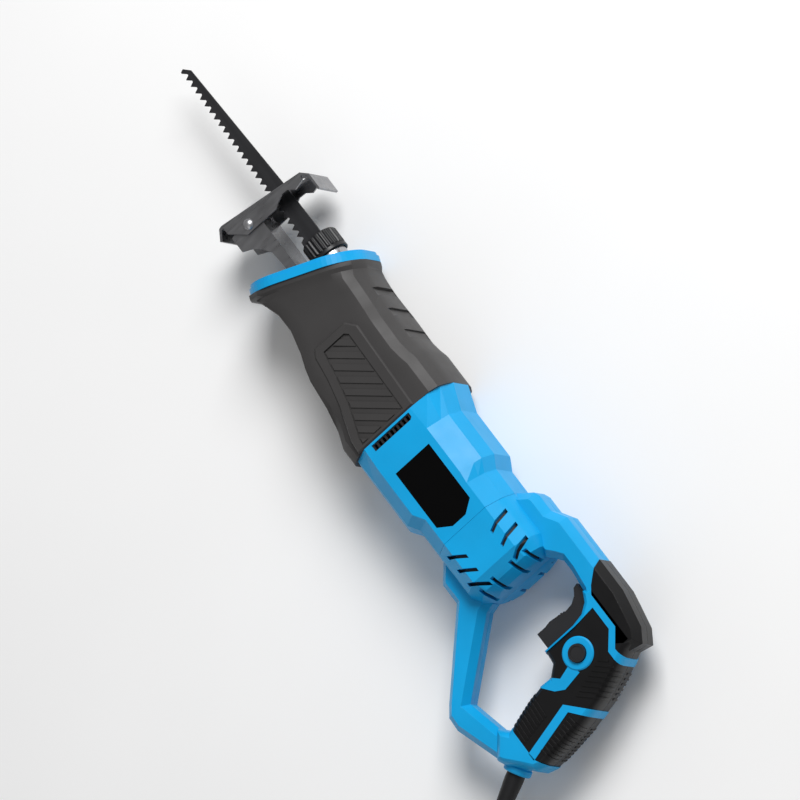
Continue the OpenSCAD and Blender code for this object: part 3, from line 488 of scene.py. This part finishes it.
FRAME_BAND = [
    (184, 50), (193, 43), (199, 38.6), (230, 38.6), (243, 28), (253, 28.5), (266, 31),
    (266, 25.5), (253, 22.5), (241, 22.5), (228, 33.6), (207, 33.6), (208.3, 18), (208, -22),
    (202, -22), (202, 22), (197, 31), (184, 36),
]
FRAME_TAIL = [
    (228, -8), (231.5, -20), (224, -27.5), (218, -40), (226, -37), (236, -29.5), (240.5, -22), (238, -5),
]
FRAME_SEVEN = [
    (281, -2), (248, -30.5), (258.5, -75), (265.5, -75), (255, -31), (281, -11),
]
FRAME_FOOT = [(200, -74), (258, -74.5), (266, -74), (290, -63), (290, -130), (200, -130)]


def inset(outline, distance):
    """The outline with every edge moved inwards by the distance (outwards if negative)."""
    area = sum(a[0] * b[1] - b[0] * a[1] for a, b in zip(outline, outline[1:] + outline[:1]))
    side = math.copysign(1.0, area) * distance
    moved = []
    for i, here in enumerate(outline):
        before, after = outline[i - 1], outline[(i + 1) % len(outline)]
        one = (Vector(here) - Vector(before)).normalized()
        two = (Vector(after) - Vector(here)).normalized()
        left, right = Vector((-one.y, one.x)), Vector((-two.y, two.x))
        mitre = (left + right) / max(0.35, 1 + left.dot(right))
        moved.append(tuple(Vector(here) + mitre * side))
    return moved


def slab_rings(outline, z0, z1, edge=0.0, low_chamfer=0.0):
    """Rings of a plate in the saw's plane. edge is the chamfer at z1, or its (depth, inset) steps."""
    out = 1 if z1 > z0 else -1
    steps = edge if isinstance(edge, tuple) else ((edge, 0), (0, edge))
    levels = [(z0, low_chamfer), (z0 + out * low_chamfer, 0)] if low_chamfer else [(z0, 0)]
    levels += [(z1 - out * depth, cut) for depth, cut in (steps if edge else ((0, 0),))]
    return [[tool(x, y, z) for x, y in inset(outline, cut)] for z, cut in levels]


def solid(ring_sets):
    """One mesh of a closed skin through each set of rings."""
    mesh = bpy.data.meshes.new("solid")
    bm = bmesh.new()
    for rings in ring_sets:
        add_rings(bm, rings)
    bmesh.ops.recalc_face_normals(bm, faces=bm.faces)
    bm.to_mesh(mesh)
    bm.free()
    return mesh


def combined(base, other, operation):
    """The mesh of base after a boolean with the mesh of other."""
    scratch = [bpy.data.objects.new("scratch", mesh) for mesh in (base, other)]
    for o in scratch:
        bpy.context.scene.collection.objects.link(o)
    cut = scratch[0].modifiers.new("cut", "BOOLEAN")
    cut.operation = operation
    cut.solver = "EXACT"
    cut.object = scratch[1]
    bpy.context.view_layer.update()
    evaluated = scratch[0].evaluated_get(bpy.context.evaluated_depsgraph_get())
    result = bpy.data.meshes.new_from_object(evaluated)
    for o in scratch:
        bpy.data.objects.remove(o)
    return result


def joined(meshes):
    """The meshes side by side in one."""
    bm = bmesh.new()
    for mesh in meshes:
        bm.from_mesh(mesh)
    result = bpy.data.meshes.new("joined")
    bm.to_mesh(result)
    bm.free()
    return result


def round_outline(at, radius, steps=40):
    """A circle in the saw's plane."""
    angles = (2 * math.pi * i / steps for i in range(steps))
    return [(at[0] + radius * math.cos(a), at[1] + radius * math.sin(a)) for a in angles]


VENT_COLUMNS = 3
VENT_STEP = 13.2
REAR_VENTS_AT = (22, 8.5, -10.5, -24)
REAR_VENT_HALF = 1.6
REAR_VENT_X = (141, 160)


def side_vents(side):
    """Cutter of the slanted slots over and under the middle of the motor's side."""
    rings = []
    for i in range(VENT_COLUMNS):
        step = VENT_STEP * i
        upper = [(106.5, 29.5), (110, 29.5), (118, 12), (114.5, 12)]
        lower = [(115.5, -14), (119, -14), (108, -29), (104.5, -29)]
        for slot in (upper, lower):
            outline = [(x + step, y) for x, y in slot]
            rings.append(slab_rings(outline, side * 20, side * 45))
    return solid(rings)


def rear_vents(side):
    """Cutter of the straight slots round the motor's rear corner."""
    rings = []
    x0, x1 = REAR_VENT_X
    for y in REAR_VENTS_AT:
        low, high = y - REAR_VENT_HALF, y + REAR_VENT_HALF
        outline = [(x0, low), (x1, low), (x1, high), (x0, high)]
        rings.append(slab_rings(outline, side * 9, side * 45))
    return solid(rings)


MOTOR_HALF = 38.5
MOTOR_TAPER_X = 140
SCREEN_DEPTH = 3.2
SCREEN_STEP = 0.4


def motor_end(side, shrink=0.0):
    """Half of the motor's rear end, or the screen that lies shrink inside it."""
    rings = []
    for x, half in MOTOR_RINGS:
        ends = [(half[-1][0], SEAM), (half[0][0], SEAM)]
        scale = 1 - shrink / MOTOR_HALF
        x = x - shrink if x > MOTOR_TAPER_X else x + (SCREEN_STEP if shrink else 0)
        rings.append([tool(x, y * scale, side * z * scale) for y, z in half + ends])
    return solid([rings])


POCKET = [(180, -17.4), (216, -17.4), (216, 33.4), (180, 33.4)]
TOP_COVER = [
    (174, 90), (180, 58), (186, 51), (193, 43), (199, 38.6), (230, 38.6), (243, 28),
    (270, 28), (270, 90),
]
RIB_RISE = 0.75  # how far a rib stands out of the soft cover
RIB_WIDE = 1.5


def rib(start, direction, length):
    """Outline of a straight rib from start."""
    ahead = Vector(direction).normalized()
    across = Vector((-ahead.y, ahead.x)) * RIB_WIDE / 2
    a, b = Vector(start), Vector(start) + ahead * length
    return [tuple(p) for p in (a - across, b - across, b + across, a + across)]


def grip_ribs(side):
    """Three groups of ribs, cut to the shape of the grip."""
    outlines = [
        rib((240 + 1.35 * i, 12 - 4.3 * i), (0.72, 0.7), min(9 + 6 * i, 24)) for i in range(8)
    ]
    outlines += [rib((220 + 0.6 * i, -45 - 3.6 * i), (1, -0.08), 26) for i in range(8)]
    outlines += [rib((258.5 + 0.5 * i, -33 - 3.6 * i), (1, 0.12), 26) for i in range(10)]
    bars = solid([slab_rings(o, side * 4, side * BEYOND) for o in outlines])
    form = slab_rings(
        inset(GRIP, -RIB_RISE * 0.6), side * 3, side * (GRIP_HALF + RIB_RISE), GRIP_EDGE
    )
    return combined(solid([form]), bars, "INTERSECT")


def handle(side, label):
    """One half of the handle: the blue shell, and the soft cover that it frames."""
    motor = combined(motor_end(side), side_vents(side), "DIFFERENCE")
    shell_parts = [
        combined(motor, rear_vents(side), "DIFFERENCE"),
        solid([slab_rings(SPINE_TOP + SPINE_LOW, side * SEAM, side * SPINE_HALF, SPINE_EDGE)]),
        solid([slab_rings(LOOP, side * SEAM, side * LOOP_HALF, LOOP_EDGE)]),
    ]
    pocket = solid([slab_rings(POCKET, -POCKET_HALF, POCKET_HALF)])
    proud = GRIP_HALF + FRAME_PROUD
    outer = slab_rings(inset(GRIP, -FRAME_PROUD), side * SEAM, side * proud, GRIP_EDGE)
    grown = solid([outer])
    grown = combined(grown, pocket, "DIFFERENCE")
    bore = round_outline(BUTTON_AT, BUTTON_BORE)
    hole = solid([slab_rings(bore, side * BUTTON_WELL, side * BEYOND)])
    if side > 0:
        grown = combined(grown, hole, "DIFFERENCE")
    for outline in (FRAME_BAND, FRAME_TAIL, FRAME_SEVEN, FRAME_FOOT):
        region = solid([slab_rings(outline, side * 0.05, side * 40)])
        shell_parts.append(combined(grown, region, "INTERSECT"))
    ring = [round_outline(BUTTON_AT, r) for r in (13, 13, 12, 7.4, BUTTON_BORE)]
    rim = GRIP_HALF + 1.4
    heights = (BUTTON_WELL, GRIP_HALF + 0.6, rim, rim, BUTTON_WELL)
    collar = [[tool(x, y, side * z) for x, y in c] for c, z in zip(ring, heights)]
    if side > 0:
        shell_parts.append(solid([collar]))
    else:
        shell_parts.append(solid([slab_rings(ring[0], -10, -GRIP_HALF - 0.8, 1.2)]))
    shell = finish_piece(
        f"handle_shell_{label}", joined(shell_parts), "blue_plastic", "housing",
        (f"handle_{label}",),
    )
    shade(shell.data)
    soften(shell, 0.8, 3, 24)
    soft = combined(
        solid([slab_rings(GRIP, side * SOFT_SEAM, side * GRIP_HALF, GRIP_EDGE)]), pocket,
        "DIFFERENCE",
    )
    if side > 0:
        soft = combined(soft, hole, "DIFFERENCE")
    edge = inset(SPINE_TOP + SPINE_LOW, -0.3)
    spine = solid([slab_rings(edge, side * SOFT_SEAM, side * (SPINE_HALF + 0.3), SPINE_EDGE)])
    region = solid([slab_rings(TOP_COVER, side * 0.06, side * BEYOND)])
    top = combined(spine, region, "INTERSECT")
    cover = finish_piece(
        f"grip_cover_{label}_soft", joined([soft, top, grip_ribs(side)]),
        "cover_rubber", "housing", (f"grip_cover_{label}",),
    )
    shade(cover.data)
    soften(cover, 0.6, 3, 24)
    screen = finish_piece(
        f"vent_screen_{label}", motor_end(side, SCREEN_DEPTH), "dark_plastic", "housing", ()
    )
    shade(screen.data)


for side, label in ((1, "left"), (-1, "right")):
    handle(side, label)

BOSS_AT = (251, -84)
boss = lathe(
    "cord_boss", tool(*BOSS_AT), guard_axis,
    [(-8, 9), (-2, 10.6), (4, 11), (7.5, 11), (8.2, 10), (9.4, 10), (10, 11), (14, 11), (15, 10)],
    "blue_plastic", "housing",
)
soften(boss, 0.4, 2, 24)

# ---------- boot ----------

# Slanted sections from the ring to the seam: foot (x, y), top (x, y) and half width
BOOT_STATIONS = [
    ((-157.6, -34.1), (-119.6, 55.9), 36.5),
    ((-154.4, -35.5), (-116.4, 54.5), 36.5),
    ((-151, -32.5), (-113.5, 52.5), 35),
    ((-143, -26), (-108, 50.8), 33.2),
    ((-128, -21.3), (-100, 50.2), 32.2),
    ((-112, -21), (-90, 49.8), 32.6),
    ((-93, -25), (-80, 49.6), 34.5),
    ((-80, -29), (-72, 49.5), 36.8),
    ((-70, -31.5), (-66, 49.4), 37.2),
    ((-46, -34), (-46, 49), 37.2),
    ((-28, -41), (-36, 50.5), 37.2),
    ((-15, -46), (-30, 52), 37.2),
    ((0, -46), (0, 52), 37.2),
]
# Section from the top down: how far under the top, or over the foot, and the share of the
# half width
BOOT_UPPER = [(0, 0.42), (1.5, 0.6), (6, 0.87), (13, 0.99), (20, 1.0), (28, 1.0)]
FLANGE_UPPER = [(0, 0.36), (1.5, 0.52), (6, 0.75), (13, 0.9), (20, 0.97), (28, 1.0)]
FLANGE_LOWER = [(26, 1.0), (12, 0.92), (3, 0.7), (0, 0.42)]  # where the foot is before FLANGE_X
FLANGE_X = -150
BOOT_LOWER = [(20, 1.0), (9, 0.92), (2, 0.74), (0, 0.6)]  # at the seam
BOOT_WAIST = [(12, 1.0), (5, 0.99), (1.2, 0.95), (0, 0.86)]  # where the foot is higher than WAIST_FOOT
WAIST_FOOT = -35
PANEL_RIM = [
    (-86, -12), (-86, 19), (-77, 26.5), (-0.6, 24), (-0.6, -34), (-12, -33), (-38, -24),
    (-60, -19), (-80, -16),
]
PANEL = [
    (-79, -7.5), (-79, 14), (-76, 17), (-3.5, 15.5), (-3.5, -27), (-9, -26.5), (-34, -17),
    (-60, -11),
]
PANEL_FACE = 38.3
PANEL_FLOOR = 36.4
STRIPES = 9
STRIPES_FROM = -112
STRIPE_STEP = 12.4
STRIPE_WIDE = 6.4
STRIPE_LEAN = 46
STRIPE_Y = (-30, 22)
NOTCHES_AT = (-97, -76.5, -55.5)
NOTCH_WIDE = 7.5
NOTCH_Y = 50
NOTCH_SPREAD = 0.8
WAIST_X = -60


def boot_ring(foot, top, half, wall=0.0):
    """One slanted section of the boot, or of the hollow that leaves the wall."""
    profile = BOOT_LOWER if foot[1] < WAIST_FOOT and foot[0] > WAIST_X else BOOT_WAIST
    upper_profile = FLANGE_UPPER if foot[0] < FLANGE_X else BOOT_UPPER
    profile = FLANGE_LOWER if foot[0] < FLANGE_X else profile
    half -= wall
    upper = [(top[1] - wall - drop, half * share) for drop, share in upper_profile]
    lower = [(foot[1] + wall + rise, half * share) for rise, share in profile]
    outline = upper + lower
    outline += [(y, -z) for y, z in reversed(outline)]
    lean = (top[0] - foot[0]) / (top[1] - foot[1])
    return [tool(foot[0] + (y - foot[1]) * lean, y, z) for y, z in outline]


def boot_panel(side):
    """The framed panel on one side of the boot, with its slanted stripes."""
    rim = solid([slab_rings(PANEL_RIM, side * 30, side * PANEL_FACE, 1.3)])
    hollow = solid([slab_rings(PANEL, side * PANEL_FLOOR, side * 45)])
    stripes = []
    foot, top = STRIPE_Y
    for i in range(STRIPES):
        x = STRIPES_FROM + i * STRIPE_STEP
        above = x + STRIPE_LEAN
        bar = [(x, foot), (x + STRIPE_WIDE, foot), (above + STRIPE_WIDE, top), (above, top)]
        stripes.append(slab_rings(bar, side * 33, side * (PANEL_FACE - 0.2)))
    inside = solid([slab_rings(inset(PANEL, 1.2), side * 32, side * 44)])
    bars = combined(inside, solid(stripes), "INTERSECT")
    return [combined(rim, hollow, "DIFFERENCE"), bars]


def notch(x):
    """Cutter of a shallow finger groove over the top of the boot."""
    low = [(-2.2, -24), (-2.2, 24), (9, 40), (9, -40)]
    ends = (x, x + NOTCH_WIDE)
    return [[tool(end, NOTCH_Y + y, z * NOTCH_SPREAD) for y, z in low] for end in ends]


BOOT_WALL = 2.6
NOSE = [(-174, -14), (-126, -14), (-104, 42), (-140, 44)]
NOSE_HALF = 25
NOSE_EDGE = 8
boot_body = solid([[boot_ring(*station) for station in BOOT_STATIONS]])
for x in NOTCHES_AT:
    boot_body = combined(boot_body, solid([notch(x)]), "DIFFERENCE")
nose = solid([slab_rings(NOSE, -NOSE_HALF, NOSE_HALF, NOSE_EDGE, NOSE_EDGE)])
boot_body = combined(boot_body, nose, "DIFFERENCE")
hollow = [boot_ring(*station, BOOT_WALL) for station in BOOT_STATIONS[4:]]
hollow.append([p + Vector((1, 0, 0)) * MM for p in hollow[-1]])
boot_body = combined(boot_body, solid([hollow]), "DIFFERENCE")
boot = finish_piece(
    "boot", joined([boot_body, *boot_panel(1), *boot_panel(-1)]), "boot_rubber", "housing",
    ("rubber_boot",),
)
shade(boot.data)
soften(boot, 0.9, 3, 22)

# ---------- blade clamp's collar ----------

COLLAR_X = (-161.5, -143.5)
COLLAR_RADII = (13.3, 14.0, 15.0)  # bore, between the ribs, over the ribs
COLLAR_RIBS = 24
PLUNGER_Y = 32


def collar_mesh():
    """A knurled ring round the plunger's axis, its ribs shorter than the ring."""
    bore, root, crest = COLLAR_RADII
    x0, x1 = COLLAR_X
    stations = [
        (x0 + 1, bore, bore), (x0, bore + 0.5, bore + 0.5), (x0 + 0.4, root, root),
        (x0 + 1.2, root, crest), (x1 - 4.2, root, crest), (x1 - 3.6, root, root),
        (x1 - 3.2, crest, crest), (x1 - 0.6, crest, crest), (x1, root, root), (x1, bore, bore),
    ]
    rings = []
    for x, low, high in stations:
        ring = []
        for i in range(COLLAR_RIBS * 4):
            radius = high if i % 4 in (0, 1) else low
            y, z = turned(radius, 0, i * 90 / COLLAR_RIBS)
            ring.append(tool(x, PLUNGER_Y + y, z))
        rings.append(ring)
    bm = bmesh.new()
    rows = [[bm.verts.new(p) for p in ring] for ring in rings]
    for one, two in zip(rows, rows[1:] + rows[:1]):
        for i in range(len(one)):
            j = (i + 1) % len(one)
            bm.faces.new((one[i], one[j], two[j], two[i]))
    mesh = bpy.data.meshes.new("collar")
    bm.to_mesh(mesh)
    bm.free()
    return mesh


collar = finish_piece("knurled_collar", collar_mesh(), "collar_black", "collar", ("clamp_collar",))
shade(collar.data)
soften(collar, 0.2, 2, 30)

# ---------- CAD nodes that stay ----------

SOFT_EDGES = {
    "motor_housing": 0.8, "side_plates": 0.25, "bumper_ring": 1.2,
    "shoe": 0.4, "shoe_arm": 0.4, "blade": 0.12, "clamp_body": 0.4,
    "trigger": 0.8, "speed_dial": 0.4, "lock_button": 0.7, "plug_body": 1.0, "arm_guide": 0.5,
    "gear_case": 0.5, "gear_cover": 0.5,
}
for name, width in SOFT_EDGES.items():
    soften(nodes[name], width)

# ---------- final update -----

bpy.context.view_layer.update()
